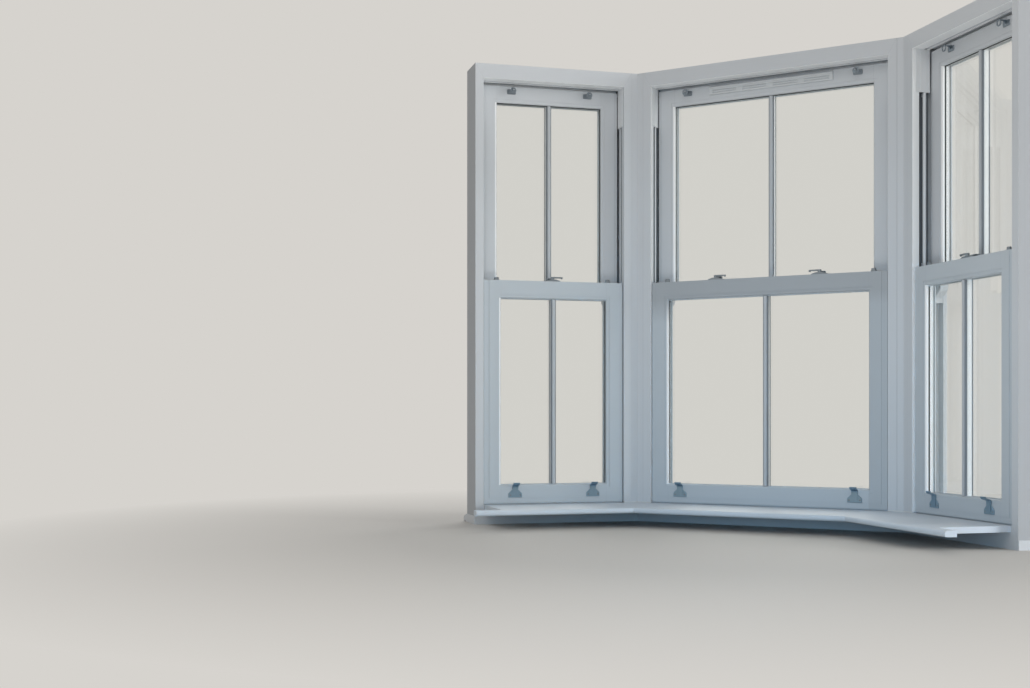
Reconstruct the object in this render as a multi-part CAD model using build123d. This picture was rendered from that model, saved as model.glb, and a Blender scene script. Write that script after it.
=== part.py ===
from build123d import *
import math
import os

# heights, from the underside of the projecting cill upward
cill_height = 30
frame_bottom_height = 45
sash_span = 1566
head_gap = 9
frame_head_height = 54
meeting_ratio = 0.53

# widths of the sashes and plan of the bay
centre_sash_width = 888
side_sash_width = 542
bay_angle = 45
post_face = 22.7
post_round = 5
pole_radius = 26
pole_wall = 4

# sash section
sash_depth = 46
stile_width = 64.8
bottom_rail = 68.5
meeting_rail = 65.4
top_rail = 62
hidden_rail = 58
flange_width = 20
narrow_flange = 9
flange_drop = 1.6
bead_width = 13
bead_drop = 2
ovolo_radius = 5
weather_chamfer = 4
horn_length = 62
horn_inset = 8
interlock_height = 8
interlock_drop = 4

# frame section, set out around the two sashes
face_setback = 8
sash_gap = 3
bead_clearance = 3
bead_thickness = 10
weather_clearance = 2
lip_width = 32
lip_thickness = 26
lip_round = 2
track_floor = 14
bead_reach = 8
head_groove = 3
outer_lip_thickness = 17
outer_lip_extra = 9
outer_lip_round = 5
soffit_gap = 5
seat_width = 24
seat_height = 6
weep_width = 28
weep_height = 5

# glazing
pane_thickness = 4
unit_gap = 16
glass_setback = 16
glass_cover = 12
pocket_extra = 2
gasket_width = 2
gasket_height = 3.4
spacer_inset = 1
spacer_height = 7
bar_width = 20
bar_height = 11
bar_shoulder = 2

# window board
board_depth = 290
board_thickness = 19
board_drop = 4
reveal_cover = 35
horn_reach = 100
horn_depth = 40

# projecting cill
cill_projection = 45
cill_nose = 12
cill_nose_height = 18
cill_drip = 4
cill_cap_thickness = 3

# furniture
plate_thickness = 3
lift_offset_centre = 330
lift_offset_side = 152
lift_rise = 22
lift_width = 52
lift_neck = 26
lift_height = 57
lift_reach = 26
lift_strip = 4
pull_offset_centre = 324
pull_offset_side = 150
pull_drop = 20
pull_width = 34
pull_height = 18
ring_radius = 11.7
ring_wire = 2.5
ring_reach = 28
catch_offset = 197
catch_length = 62
catch_width = 18
catch_base = 9
catch_hub = 7
catch_lever = 36
lever_thickness = 5
tongue_thickness = 3
keep_width = 24
knob_inset = 53
knob_length = 22
knob_width = 14
knob_height = 13
vent_length = 470
vent_height = 28
vent_thickness = 7
vent_ledge = 5
vent_drop = 22
vent_cap = 5
hood_depth = 16
hood_height = 24
cover_length = 147
cover_wall = 3
cover_skin = 1.5
cover_rib = 10.5
tube_radius = 6
tube_lift = 6
tube_drop = 7

half_bay = math.radians(bay_angle / 2)
sash_base = cill_height + frame_bottom_height
sash_top = sash_base + sash_span
head_face = sash_top + head_gap
frame_top = head_face + frame_head_height
board_top = sash_base - board_drop
meeting_top = sash_base + sash_span * meeting_ratio
lower_back = face_setback + sash_depth
bead_start = lower_back + bead_clearance
bead_end = bead_start + bead_thickness
outer_face = bead_end + bead_clearance
outer_back = outer_face + sash_depth
outer_lip_start = outer_back + weather_clearance
frame_depth = outer_lip_start + outer_lip_thickness
mitre_half = centre_sash_width / 2 + sash_gap + lip_width + post_face
bottom_up = (Align.CENTER, Align.CENTER, Align.MIN)


# face from corner points, where a third number rounds that corner
def section(points):
    face = make_face(Polyline(*[point[:2] for point in points], close=True))
    for radius in sorted({point[2] for point in points if len(point) > 2}):
        wanted = [point for point in points if len(point) > 2 and point[2] == radius]
        corners = [
            corner for corner in face.vertices()
            if any(math.hypot(corner.X - point[0], corner.Y - point[1]) < 0.001 for point in wanted)
        ]
        face = fillet(corners, radius)
    return face


def prism_x(points, left, right):
    return extrude(Plane.YZ.offset(left) * section(points), amount=right - left)


def prism_y(points, near, far):
    return extrude(Plane.XZ.offset(-far) * section(points), amount=far - near)


def prism_z(points, low, high):
    return extrude(Plane.XY.offset(low) * section(points), amount=high - low)


def block(left, right, near, far, low, high):
    return Pos((left + right) / 2, (near + far) / 2, (low + high) / 2) * Box(right - left, far - near, high - low)


def frame_width(sash_width):
    return sash_width + 2 * (sash_gap + lip_width)


# jamb in plan, as distance from the frame's outer edge and depth from the room
def jamb_section():
    tip = lip_width + outer_lip_extra
    rib = track_floor + bead_reach
    return [
        (0, 0), (lip_width, 0, lip_round), (lip_width, lip_thickness), (track_floor, lip_thickness),
        (track_floor, bead_start), (rib, bead_start), (rib, bead_end), (track_floor, bead_end),
        (track_floor, outer_lip_start), (tip, outer_lip_start), (tip, frame_depth, outer_lip_round), (0, frame_depth),
    ]


# front outline of a frame member between its two mitres
def frame_outline(width, member):
    half = width / 2
    stretch = 1 + outer_lip_extra / lip_width
    reach = half - lip_width * stretch
    low = cill_height + frame_bottom_height * stretch
    high = frame_top - frame_head_height * stretch
    if member == "head":
        return [(-half, frame_top), (-reach, high), (reach, high), (half, frame_top)]
    if member == "bottom":
        return [(-half, cill_height), (-reach, low), (reach, low), (half, cill_height)]
    sign = -1 if member == "left" else 1
    return [(sign * half, cill_height), (sign * reach, low), (sign * reach, high), (sign * half, frame_top)]


def cut_mitres(solid, width, member):
    return solid & prism_y(frame_outline(width, member), -1, frame_depth + 1)


def jamb(width, member):
    sign = -1 if member == "left" else 1
    points = [(sign * (width / 2 - point[0]), *point[1:]) for point in jamb_section()]
    return cut_mitres(prism_z(points, cill_height, frame_top), width, member)


def head(width):
    soffit = head_face + soffit_gap
    rib = outer_face + sash_depth / 2
    trim_end = bead_start - 4 * head_groove
    low = sash_top + sash_gap - outer_lip_extra
    points = [
        (0, frame_top), (0, head_face, lip_round), (trim_end, head_face), (trim_end, head_face + head_groove),
        (bead_start, head_face + head_groove), (bead_start, head_face), (bead_end, head_face), (bead_end, soffit),
        (rib - bead_thickness / 2, soffit), (rib - bead_thickness / 2, sash_top),
        (rib + bead_thickness / 2, sash_top), (rib + bead_thickness / 2, soffit), (outer_lip_start, soffit),
        (outer_lip_start, low), (frame_depth, low, outer_lip_round), (frame_depth, frame_top),
    ]
    return cut_mitres(prism_x(points, -width / 2, width / 2), width, "head")


# sloping bottom member with a seat for the lower sash and weep slots
def bottom(width):
    floor = sash_base - seat_height
    seat = face_setback + sash_depth / 2
    fall = frame_bottom_height * 0.58
    points = [
        (0, cill_height), (0, board_top), (face_setback, board_top), (face_setback, floor),
        (seat - seat_width / 2, floor), (seat - seat_width / 2, sash_base), (seat + seat_width / 2, sash_base),
        (seat + seat_width / 2, floor), (bead_start, floor), (bead_start, sash_base - 2, lip_round),
        (bead_end, sash_base - 2, lip_round), (bead_end, floor - seat_height),
        (frame_depth, sash_base - fall, lip_round), (frame_depth, cill_height),
    ]
    solid = cut_mitres(prism_x(points, -width / 2, width / 2), width, "bottom")
    middle = (cill_height + sash_base - fall) / 2
    slot = Rot(90, 0, 0) * extrude(SlotOverall(weep_width, weep_height), amount=weep_height, both=True)
    for place in (-width / 4, width / 4):
        solid -= Pos(place, frame_depth, middle) * slot
    return solid


def rim_edges(solid, depth, window):
    left, right, low, high = window
    found = ShapeList()
    for edge in solid.edges():
        box = edge.bounding_box()
        flat = max(abs(box.min.Y - depth), abs(box.max.Y - depth)) < 0.01
        wide = box.min.X > left - 0.1 and box.max.X < right + 0.1
        tall = box.min.Z > low - 0.1 and box.max.Z < high + 0.1
        if flat and wide and tall:
            found.append(edge)
    return found


def sight(frame):
    width, low, high, rail_low, rail_high, _ = frame
    return -width / 2 + stile_width, width / 2 - stile_width, low + rail_low, high - rail_high


def grown(window, amount):
    left, right, low, high = window
    return left - amount, right + amount, low - amount, high + amount


def sheet(window, near, far):
    left, right, low, high = window
    return block(left, right, near, far, low, high)


def ring(window, near, far, width):
    return sheet(window, near, far) - sheet(grown(window, -width), near, far)


# sash with its glazing pocket, an ovolo towards the room and a chamfer towards the weather
def sash_body(frame, flange):
    width, low, high, _, _, face = frame
    half = width / 2
    back = face + sash_depth
    window = sight(frame)
    body = block(-half, half, face, back, low, high)
    body -= sheet(grown(window, bead_width), face, face + bead_drop)
    body -= sheet(window, face, back)
    pocket = face + glass_setback
    body -= sheet(grown(window, glass_cover + pocket_extra), pocket, pocket + 2 * pane_thickness + unit_gap)
    body = fillet(rim_edges(body, face + bead_drop, window), ovolo_radius)
    body = chamfer(rim_edges(body, back, window), weather_chamfer)
    for side in (-1, 1):
        ends = sorted((side * (half - flange), side * half))
        body -= block(*ends, face, face + flange_drop, low, high)
    return body


def lower_sash(frame):
    width, low, high, _, _, face = frame
    half = width / 2
    body = sash_body(frame, flange_width)
    body -= block(-half, half, face, face + flange_drop, low, low + flange_width)
    top = high - interlock_drop
    middle = (lower_back + outer_face) / 2
    return body + block(-half, half, lower_back, middle, top - interlock_height, top)


def upper_sash(frame):
    width = frame[0]
    half = width / 2
    low, face = frame[1], frame[5]
    top = meeting_top - interlock_drop
    middle = (lower_back + outer_face) / 2
    body = sash_body(frame, narrow_flange) + block(-half, half, middle, outer_face, top - interlock_height, top)
    for side in (-1, 1):
        body += horn(side, half, low, face)
    return body


# ogee horn that carries the stile below the rail
def horn(side, half, low, face):
    outer = side * (half - horn_inset / 2)
    inner = side * (half - stile_width + horn_inset * 1.5)
    reach = inner - outer
    tip = low - horn_length
    with BuildSketch(Plane.XZ) as outline:
        with BuildLine():
            Line((inner, low), (outer, low))
            Line((outer, low), (outer, tip))
            Line((outer, tip), (outer + reach * 0.3, tip))
            Spline((outer + reach * 0.3, tip), (outer + reach * 0.42, low - horn_length * 0.66),
                   (outer + reach * 0.84, low - horn_length * 0.4), (inner, low - horn_length * 0.1))
            Line((inner, low - horn_length * 0.1), (inner, low))
        make_face()
    return Pos(0, face + sash_depth - horn_inset, 0) * extrude(outline.sketch, amount=sash_depth - 2 * horn_inset)


def unit_faces(frame):
    near = frame[5] + glass_setback
    return near, near + 2 * pane_thickness + unit_gap


def panes(frame):
    near, far = unit_faces(frame)
    window = grown(sight(frame), glass_cover)
    return [sheet(window, near, near + pane_thickness), sheet(window, far - pane_thickness, far)]


# spacer round the sealed unit, with an upright behind the glazing bar
def spacers(frame):
    near, far = unit_faces(frame)
    near += pane_thickness
    far -= pane_thickness
    outside = grown(sight(frame), glass_cover - spacer_inset)
    inside = grown(outside, -spacer_height)
    half = bar_width / 2 - bar_shoulder
    return ring(outside, near, far, spacer_height) + block(-half, half, near, far, inside[2], inside[3])


def gaskets(frame):
    near, far = unit_faces(frame)
    window = sight(frame)
    return [ring(window, near - gasket_height, near, gasket_width), ring(window, far, far + gasket_height, gasket_width)]


# moulded glazing bars on both faces of the unit
def bars(frame):
    near, far = unit_faces(frame)
    low, high = grown(sight(frame), -gasket_width)[2:]
    half = bar_width / 2
    weather_height = sash_depth - (far - frame[5]) - 1
    result = []
    for start, height in ((near, -bar_height), (far, weather_height)):
        foot = height * 0.3
        crest = abs(height) * 0.62
        points = [
            (-half, start), (half, start), (half, start + foot), (half - bar_shoulder, start + foot),
            (half - bar_shoulder, start + height, crest), (bar_shoulder - half, start + height, crest),
            (bar_shoulder - half, start + foot), (-half, start + foot),
        ]
        result.append(prism_z(points, low, high))
    return result


def screw_hole(x, y):
    cut = Cylinder(plate_thickness * 0.6, 2 * plate_thickness)
    cut += Pos(0, 0, -plate_thickness * 0.25) * Cone(plate_thickness * 0.4, plate_thickness * 1.25, plate_thickness * 0.6)
    return Pos(x, y, plate_thickness) * cut


# hook lift: a low plate with a broad finger that curls into the room
def hook_lift():
    wide = lift_width / 2
    neck = lift_neck / 2
    plate_points = [
        (-wide, 0, 2), (wide, 0, 2), (wide, lift_height * 0.26, 4), (neck * 0.95, lift_height * 0.48, 4),
        (-neck * 0.95, lift_height * 0.48, 4), (-wide, lift_height * 0.26, 4),
    ]
    plate = prism_y(plate_points, -plate_thickness, 0)
    plate = chamfer(plate.faces().sort_by(Axis.Y)[0].edges(), plate_thickness * 0.3)
    half_strip = lift_strip / 2
    back = -plate_thickness * 0.8
    with BuildSketch(Plane.YZ) as side_view:
        with BuildLine() as path:
            Line((back, lift_height * 0.15), (back, lift_height * 0.5))
            Spline((back, lift_height * 0.5), (-lift_reach * 0.2, lift_height * 0.76),
                   (-lift_reach * 0.66, lift_height * 0.83), (-lift_reach + half_strip, lift_height - half_strip),
                   tangents=[(0, 1), (-0.3, 1)])
        trace(path.line, line_width=lift_strip)
    with BuildSketch(Plane.XZ) as front_view:
        with BuildLine():
            Line((-neck * 0.8, lift_height * 0.12), (neck * 0.8, lift_height * 0.12))
            Spline((neck * 0.8, lift_height * 0.12), (neck * 0.84, lift_height * 0.6), (neck, lift_height * 1.02))
            Line((neck, lift_height * 1.02), (-neck, lift_height * 1.02))
            Spline((-neck, lift_height * 1.02), (-neck * 0.84, lift_height * 0.6), (-neck * 0.8, lift_height * 0.12))
        make_face()
    finger = extrude(side_view.sketch, amount=wide, both=True) & extrude(front_view.sketch, amount=2 * lift_reach, both=True)
    lift = plate + finger
    for side in (-1, 1):
        lift -= Rot(90, 0, 0) * screw_hole(side * wide * 0.74, lift_height * 0.14)
    return lift


# ring pull near the head of the upper sash: a screwed plate with an eye held out on a lug
def ring_pull():
    wide = pull_width / 2
    rise = pull_height / 2
    plate_points = [
        (-wide, -rise, 4), (wide, -rise, 4), (wide, rise, 4), (-wide, rise, 4),
    ]
    plate = prism_y(plate_points, -plate_thickness, 0)
    plate = chamfer(plate.faces().sort_by(Axis.Y)[0].edges(), plate_thickness * 0.3)
    loop = Pos(0, -ring_reach, 0) * Rot(90, 0, 0) * Torus(ring_radius - ring_wire, ring_wire)
    crown = ring_radius - ring_wire
    lug = block(-ring_wire, ring_wire, -ring_reach, 0, crown - ring_wire * 0.7, crown + ring_wire * 0.7)
    gusset = prism_x([(0, -rise * 0.5), (0, crown), (-ring_reach * 0.6, crown)], -ring_wire * 0.6, ring_wire * 0.6)
    pull = plate + loop + lug + gusset
    for side in (-1, 1):
        pull -= Rot(90, 0, 0) * screw_hole(side * wide * 0.68, 0)
    return pull


def hull_plate(first, second, low, thickness):
    circles = [Pos(x, y) * Circle(radius) for x, y, radius in (first, second)]
    outline = make_hull(circles[0].edges() + circles[1].edges())
    return Pos(0, 0, low) * extrude(outline, amount=thickness)


# cam catch on the meeting rail: cast base, hub, lever with a thumb end, and the tongue under the keep;
# hand is the side that the lever points to
def cam_catch(hand):
    half = catch_length / 2
    base_points = [
        (-half, 0), (half, 0), (half, plate_thickness), (catch_hub * 1.4, catch_base), (-catch_hub * 1.4, catch_base),
        (-half, plate_thickness),
    ]
    base = prism_y(base_points, -catch_width / 2, catch_width / 2)
    base &= extrude(SlotOverall(catch_length, catch_width), amount=catch_base)
    for side in (-1, 1):
        x = side * (half - catch_width / 2)
        base -= Pos(x, 0, plate_thickness) * Cylinder(plate_thickness * 1.4, catch_base, align=bottom_up)
        base -= screw_hole(x, 0)
    top = catch_base + lever_thickness
    hub = Pos(0, 0, catch_base) * Cylinder(catch_hub, lever_thickness, align=bottom_up)
    lever = hull_plate((0, 0, catch_hub), (hand * catch_lever, 0, catch_hub * 0.55), top, lever_thickness)
    lever = fillet(lever.faces().sort_by(Axis.Z)[-1].edges(), lever_thickness * 0.4)
    thumb = Pos(hand * catch_lever, 0, top - lever_thickness * 0.5) * Cylinder(
        catch_hub * 0.5, lever_thickness * 1.4, align=bottom_up)
    reach = outer_face - face_setback - sash_depth / 2 - interlock_height
    tongue = hull_plate((0, 0, catch_hub * 0.9), (0, reach - catch_hub / 2, catch_hub / 2), catch_base, tongue_thickness)
    return base + hub + lever + thumb + tongue


# hooked keep standing on the interlock of the upper sash
def catch_keep():
    lip = catch_base + tongue_thickness + 1
    rise = lip + plate_thickness
    points = [
        (-interlock_height, -interlock_drop), (0, -interlock_drop), (0, rise, 1), (-2 * interlock_height, rise, 1),
        (-2 * interlock_height, lip), (-interlock_height, lip),
    ]
    return prism_x(points, -keep_width / 2, keep_width / 2)


# sliding tilt button with grip ribs
def tilt_knob():
    foot = extrude(SlotOverall(knob_length, knob_width), amount=knob_height / 3)
    button = extrude(SlotOverall(knob_length * 0.8, knob_width * 0.7), amount=knob_height)
    button = chamfer(button.faces().sort_by(Axis.Z)[-1].edges(), knob_height * 0.1)
    knob = foot + button
    for index in (-1, 0, 1):
        groove = Box(knob_length * 0.06, knob_width, knob_height * 0.16)
        knob -= Pos(index * knob_length * 0.14, 0, knob_height) * groove
    return knob


# vent body with four slotted grilles under a projecting ledge, and caps over the fixings between them
def trickle_vent():
    half = vent_length / 2
    rise = vent_height / 2
    front = vent_thickness + vent_ledge
    points = [
        (0, -rise), (-vent_thickness, -rise, 2), (-vent_thickness, rise * 0.5), (-front, rise * 0.64),
        (-front, rise, 2), (0, rise),
    ]
    body = prism_x(points, -half, half)
    panel = vent_length / 4
    slot = vent_height * 0.14
    for index in range(4):
        middle = (index - 1.5) * panel
        for row in (-0.26, 0.02):
            height = vent_height * row
            ends = (middle - panel * 0.4, middle + panel * 0.4)
            body -= block(*ends, -vent_thickness * 1.1, -vent_thickness * 0.5, height - slot / 2, height + slot / 2)
    cap = Rot(90, 0, 0) * Cylinder(vent_cap, vent_thickness + 1, align=bottom_up)
    for index in (-1, 0, 1):
        body += Pos(index * panel, 0, -rise * 0.24) * cap
    return body


def vent_hood():
    rise = hood_height / 2
    points = [(0, rise), (0, -rise), (hood_depth * 0.85, -rise, 2), (hood_depth, -rise * 0.6, 2), (hood_depth * 0.6, rise, 3)]
    return prism_x(points, -vent_length / 2, vent_length / 2)


# ribbed cover clipped over the lip that closes the inner track above the balance
def track_cover(side, span):
    wall = span / 2 - track_floor
    rim = span / 2 - lip_width
    face = rim - cover_skin
    near = lip_thickness / 2
    middle = (near + bead_end) / 2
    grooves = []
    for place in (middle - cover_rib, middle + cover_rib):
        grooves += [(face, place - 1), (rim - cover_skin / 3, place), (face, place + 1)]
    points = [
        (rim, near), (face, near), *grooves, (face, bead_end), (rim, bead_end), (rim, bead_start), (wall, bead_start),
        (wall, bead_start - cover_wall), (rim, bead_start - cover_wall), (rim, lip_thickness + cover_wall),
        (wall, lip_thickness + cover_wall), (wall, lip_thickness), (rim, lip_thickness),
    ]
    return prism_z([(side * point[0], point[1]) for point in points], head_face - cover_length, head_face)


# balance tube hung from the foot of the cover, with its shoe against the track floor
def balance_tube(side, span):
    low = meeting_top + tube_lift
    high = head_face - cover_length
    wall = span / 2 - track_floor
    x = side * (span / 2 - lip_width + tube_radius)
    y = bead_start - tube_drop
    tube = Pos(x, y, low) * Cylinder(tube_radius, high - low, align=bottom_up)
    bush = Pos(x, y, low - tube_lift) * Cylinder(tube_radius * 0.75, tube_lift, align=bottom_up)
    ends = sorted((x, side * wall))
    for level in (low, high - 2 * tube_lift):
        tube += block(*ends, y - tube_radius * 0.6, y + tube_radius * 0.6, level, level + 2 * tube_lift)
    return tube + bush


def light_parts(width, lift_offset, pull_offset, catches):
    span = frame_width(width)
    half = width / 2
    lower = (width, sash_base, meeting_top, bottom_rail, meeting_rail, face_setback)
    upper = (width, meeting_top - hidden_rail, sash_top, hidden_rail, top_rail, outer_face)
    rail_middle = face_setback + sash_depth / 2
    parts = {
        "frame_head": [head(span)],
        "frame_bottom": [bottom(span)],
        "jamb_left": [jamb(span, "left")],
        "jamb_right": [jamb(span, "right")],
        "lower_sash": [lower_sash(lower)],
        "upper_sash": [upper_sash(upper)],
        "lower_glass": panes(lower),
        "upper_glass": panes(upper),
        "glazing_bars": bars(lower) + bars(upper),
    }
    shared = {
        "spacer_bars": [spacers(lower), spacers(upper)],
        "glass_gaskets": gaskets(lower) + gaskets(upper),
        "sash_lifts": [],
        "sash_pulls": [],
        "tilt_knobs": [],
        "track_covers": [],
        "balance_tubes": [],
        "cam_catches": [Pos(x, rail_middle, meeting_top) * cam_catch(hand) for x, hand in catches],
        "catch_keeps": [Pos(x, outer_face, meeting_top) * catch_keep() for x, hand in catches],
    }
    for side in (-1, 1):
        shared["sash_lifts"].append(Pos(side * lift_offset, face_setback, sash_base + lift_rise) * hook_lift())
        shared["sash_pulls"].append(Pos(side * pull_offset, outer_face, sash_top - pull_drop) * ring_pull())
        shared["tilt_knobs"].append(Pos(side * (half - knob_inset), rail_middle, meeting_top) * tilt_knob())
        shared["track_covers"].append(track_cover(side, span))
        shared["balance_tubes"].append(balance_tube(side, span))
    return parts, shared


# place of a facet whose origin is the corner of the bay at the room face
def facet(side, along):
    if side == "centre":
        return Location((0, 0, 0))
    angle = math.radians(bay_angle)
    sign = -1 if side == "left" else 1
    turn = Plane(origin=(sign * mitre_half, 0, 0), x_dir=(math.cos(angle), -sign * math.sin(angle), 0), z_dir=(0, 0, 1))
    return Location(turn) * Pos(sign * along, 0, 0)


def plan_point(side, along, depth):
    angle = math.radians(bay_angle)
    sign = -1 if side == "left" else 1
    out = mitre_half + along * math.cos(angle) + depth * math.sin(angle)
    return sign * out, depth * math.cos(angle) - along * math.sin(angle)


def pole_centre(side):
    depth = frame_depth * 0.62
    sign = -1 if side == "left" else 1
    return sign * (mitre_half + depth * math.tan(half_bay)), depth


# corner post that fills the wedge between two frames, with a bore for the pole
def corner_post(side):
    sign = -1 if side == "left" else 1
    near = mitre_half - post_face
    far = mitre_half + frame_depth * math.tan(half_bay)
    points = [
        (sign * near, 0, 1), (sign * near, frame_depth), (sign * far, frame_depth, post_round),
        plan_point(side, post_face, frame_depth), (*plan_point(side, post_face, 0), 1), (sign * mitre_half, 0),
    ]
    x, y = pole_centre(side)
    height = frame_top - cill_height
    return prism_z(points, cill_height, frame_top) - Pos(x, y, cill_height) * Cylinder(pole_radius, height, align=bottom_up)


def bay_pole(side):
    x, y = pole_centre(side)
    height = frame_top - cill_height
    tube = Cylinder(pole_radius, height, align=bottom_up) - Cylinder(pole_radius - pole_wall, height, align=bottom_up)
    return Pos(x, y, cill_height) * tube


# rounded board on the room side, with horns that run past the reveal
def board_piece(side):
    low = board_top - board_thickness
    pull = board_depth * math.tan(half_bay)
    if side == "centre":
        near = mitre_half - pull
        points = [(-mitre_half, 0), (mitre_half, 0), (near, -board_depth), (-near, -board_depth)]
    else:
        sign = -1 if side == "left" else 1
        body = post_face + frame_width(side_sash_width) - reveal_cover
        notch = horn_depth - board_depth
        points = [
            (0, 0), (sign * body, 0), (sign * body, notch), (sign * (body + horn_reach), notch),
            (sign * (body + horn_reach), -board_depth), (sign * pull, -board_depth),
        ]
    solid = prism_z(points, low, board_top)
    front = [edge for edge in solid.edges().filter_by(Axis.X) if abs(edge.center().Y + board_depth) < 0.01]
    return facet(side, 0) * fillet(front, board_thickness * 0.45)


def cill_section():
    reach = frame_depth + cill_projection
    return [
        (0, 0), (frame_depth + cill_nose, 0), (frame_depth + cill_nose, cill_drip), (reach - cill_nose, cill_drip),
        (reach - cill_nose, 0), (reach, 0, 2), (reach, cill_nose_height, 3), (frame_depth, cill_height), (0, cill_height),
    ]


def side_length():
    return post_face + frame_width(side_sash_width)


def cill_piece(side):
    reach = frame_depth + cill_projection
    grow = reach * math.tan(half_bay)
    if side == "centre":
        ends = (-mitre_half - grow, mitre_half + grow)
        points = [(-mitre_half, 0), (mitre_half, 0), (mitre_half + grow, reach), (-mitre_half - grow, reach)]
    else:
        sign = -1 if side == "left" else 1
        ends = sorted((-sign * grow, sign * side_length()))
        points = [(0, 0), (sign * side_length(), 0), (sign * side_length(), reach), (-sign * grow, reach)]
    return facet(side, 0) * (prism_x(cill_section(), *ends) & prism_z(points, -1, cill_height + 1))


def cill_cap(side):
    sign = -1 if side == "left" else 1
    ends = sorted((sign * side_length(), sign * (side_length() + cill_cap_thickness)))
    return facet(side, 0) * prism_x(cill_section(), *ends)


nodes = {}
shared_nodes = {}
for side, sash_width in (("left", side_sash_width), ("centre", centre_sash_width), ("right", side_sash_width)):
    if side == "centre":
        spot = facet(side, 0)
        catches = ((-catch_offset, 1), (catch_offset, -1))
        own, shared = light_parts(sash_width, lift_offset_centre, pull_offset_centre, catches)
        rail_middle = sash_top - top_rail / 2
        shared["trickle_vent"] = [Pos(0, outer_face, sash_top - vent_drop) * trickle_vent()]
        shared["vent_hood"] = [Pos(0, outer_back, rail_middle - hood_height / 4) * vent_hood()]
    else:
        spot = facet(side, post_face + frame_width(sash_width) / 2)
        catches = ((0, 1 if side == "left" else -1),)
        own, shared = light_parts(sash_width, lift_offset_side, pull_offset_side, catches)
    for name, shapes in own.items():
        nodes[f"{side}_{name}"] = [spot * shape for shape in shapes]
    for name, shapes in shared.items():
        shared_nodes.setdefault(name, []).extend(spot * shape for shape in shapes)
    nodes[f"{side}_window_board"] = [board_piece(side)]
    nodes[f"{side}_cill"] = [cill_piece(side)]
nodes["left_corner_post"] = [corner_post("left")]
nodes["right_corner_post"] = [corner_post("right")]
nodes["bay_poles"] = [bay_pole("left"), bay_pole("right")]
nodes["cill_caps"] = [cill_cap("left"), cill_cap("right")]
nodes.update(shared_nodes)

# origin at the middle of the plan box, on the underside of the cill
horn_end = plan_point("left", side_length() - reveal_cover + horn_reach, -board_depth)
shift = Pos(0, -(frame_depth + cill_projection + horn_end[1]) / 2, 0)
os.makedirs("parts", exist_ok=True)
for name, shapes in nodes.items():
    moved = [shift * shape for shape in shapes]
    shape = moved[0] if len(moved) == 1 else Compound(children=moved)
    export_step(shape, f"parts/{name}.step")
print(len(nodes), "nodes, origin moved by", round(shift.position.Y, 3))
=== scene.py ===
import math

import bmesh
import bpy
from mathutils import Matrix, Vector


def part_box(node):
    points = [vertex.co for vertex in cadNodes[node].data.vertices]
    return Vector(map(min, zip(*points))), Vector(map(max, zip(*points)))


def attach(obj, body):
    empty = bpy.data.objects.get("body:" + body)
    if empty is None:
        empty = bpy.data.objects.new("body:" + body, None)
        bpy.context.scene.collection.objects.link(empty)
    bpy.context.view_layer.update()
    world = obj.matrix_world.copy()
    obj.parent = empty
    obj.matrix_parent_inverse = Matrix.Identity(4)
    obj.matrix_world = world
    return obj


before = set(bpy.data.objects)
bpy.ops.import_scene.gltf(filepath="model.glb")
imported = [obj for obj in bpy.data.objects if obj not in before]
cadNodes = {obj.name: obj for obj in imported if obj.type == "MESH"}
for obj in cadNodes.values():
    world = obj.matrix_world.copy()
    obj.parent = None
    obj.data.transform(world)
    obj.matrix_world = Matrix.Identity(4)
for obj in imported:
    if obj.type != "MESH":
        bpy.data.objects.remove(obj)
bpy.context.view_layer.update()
mm = 0.001
quarterTurn = math.radians(90)
lightTurns = {"left": 45, "centre": 0, "right": -45}  # degrees that each light of the bay is turned in plan
print("frame loaded with", len(cadNodes), "nodes")


def lightPlace(side):
    # a light's own axes: x along the sash, y outward from the room face, z up, origin under its middle
    low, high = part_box(f"{side}_frame_head")
    straightLow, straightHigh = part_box("centre_frame_head")
    middle = (low + high) / 2
    depth = straightHigh.y - straightLow.y
    turn = Matrix.Rotation(math.radians(lightTurns[side]), 4, "Z")
    return Matrix.Translation((middle.x, middle.y, 0)) @ turn @ Matrix.Translation((0, -depth / 2, 0))


lightPlaces = {side: lightPlace(side) for side in lightTurns}


# a node's box in a light's own axes
def localBox(side, node):
    back = lightPlaces[side].inverted()
    points = [back @ vertex.co for vertex in cadNodes[node].data.vertices]
    low = Vector([min(point[axis] for point in points) for axis in range(3)])
    high = Vector([max(point[axis] for point in points) for axis in range(3)])
    return low, high


# what one light measures, read from its own nodes
def measureLight(side):
    lowerLow, lowerHigh = localBox(side, f"{side}_lower_sash")
    upperHigh = localBox(side, f"{side}_upper_sash")[1]
    headHigh = localBox(side, f"{side}_frame_head")[1]
    panes = {}
    for kind in ("lower", "upper"):
        low, high = localBox(side, f"{side}_{kind}_glass")
        panes[f"{kind}Pane"] = (low.y + high.y) / 2
    return {
        "half": lowerHigh.x,
        "spanHalf": headHigh.x,
        "base": lowerLow.z,
        "meeting": lowerHigh.z,
        "sashTop": upperHigh.z,
        "frameTop": headHigh.z,
        "lowerFace": lowerLow.y,
        "depth": headHigh.y,
        **panes,
    }


measures = {side: measureLight(side) for side in lightTurns}

# the frame's section, as the solids have it, in metres
section = {
    "lip": 32 * mm, "lipThickness": 26 * mm, "trackFloor": 14 * mm, "beadEnd": 67 * mm,
    "upperFace": 70 * mm, "stile": 64.8 * mm, "bottomRail": 68.5 * mm, "meetingRail": 65.4 * mm,
    "topRail": 62 * mm, "hiddenRail": 58 * mm, "outerLip": 41 * mm, "bottomMember": 45 * mm,
    "headMember": 54 * mm, "cillTop": 30 * mm, "boardTop": 71 * mm, "postFace": 22.7 * mm,
    "beadWidth": 7 * mm, "margin": 1 * mm,
}


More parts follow.
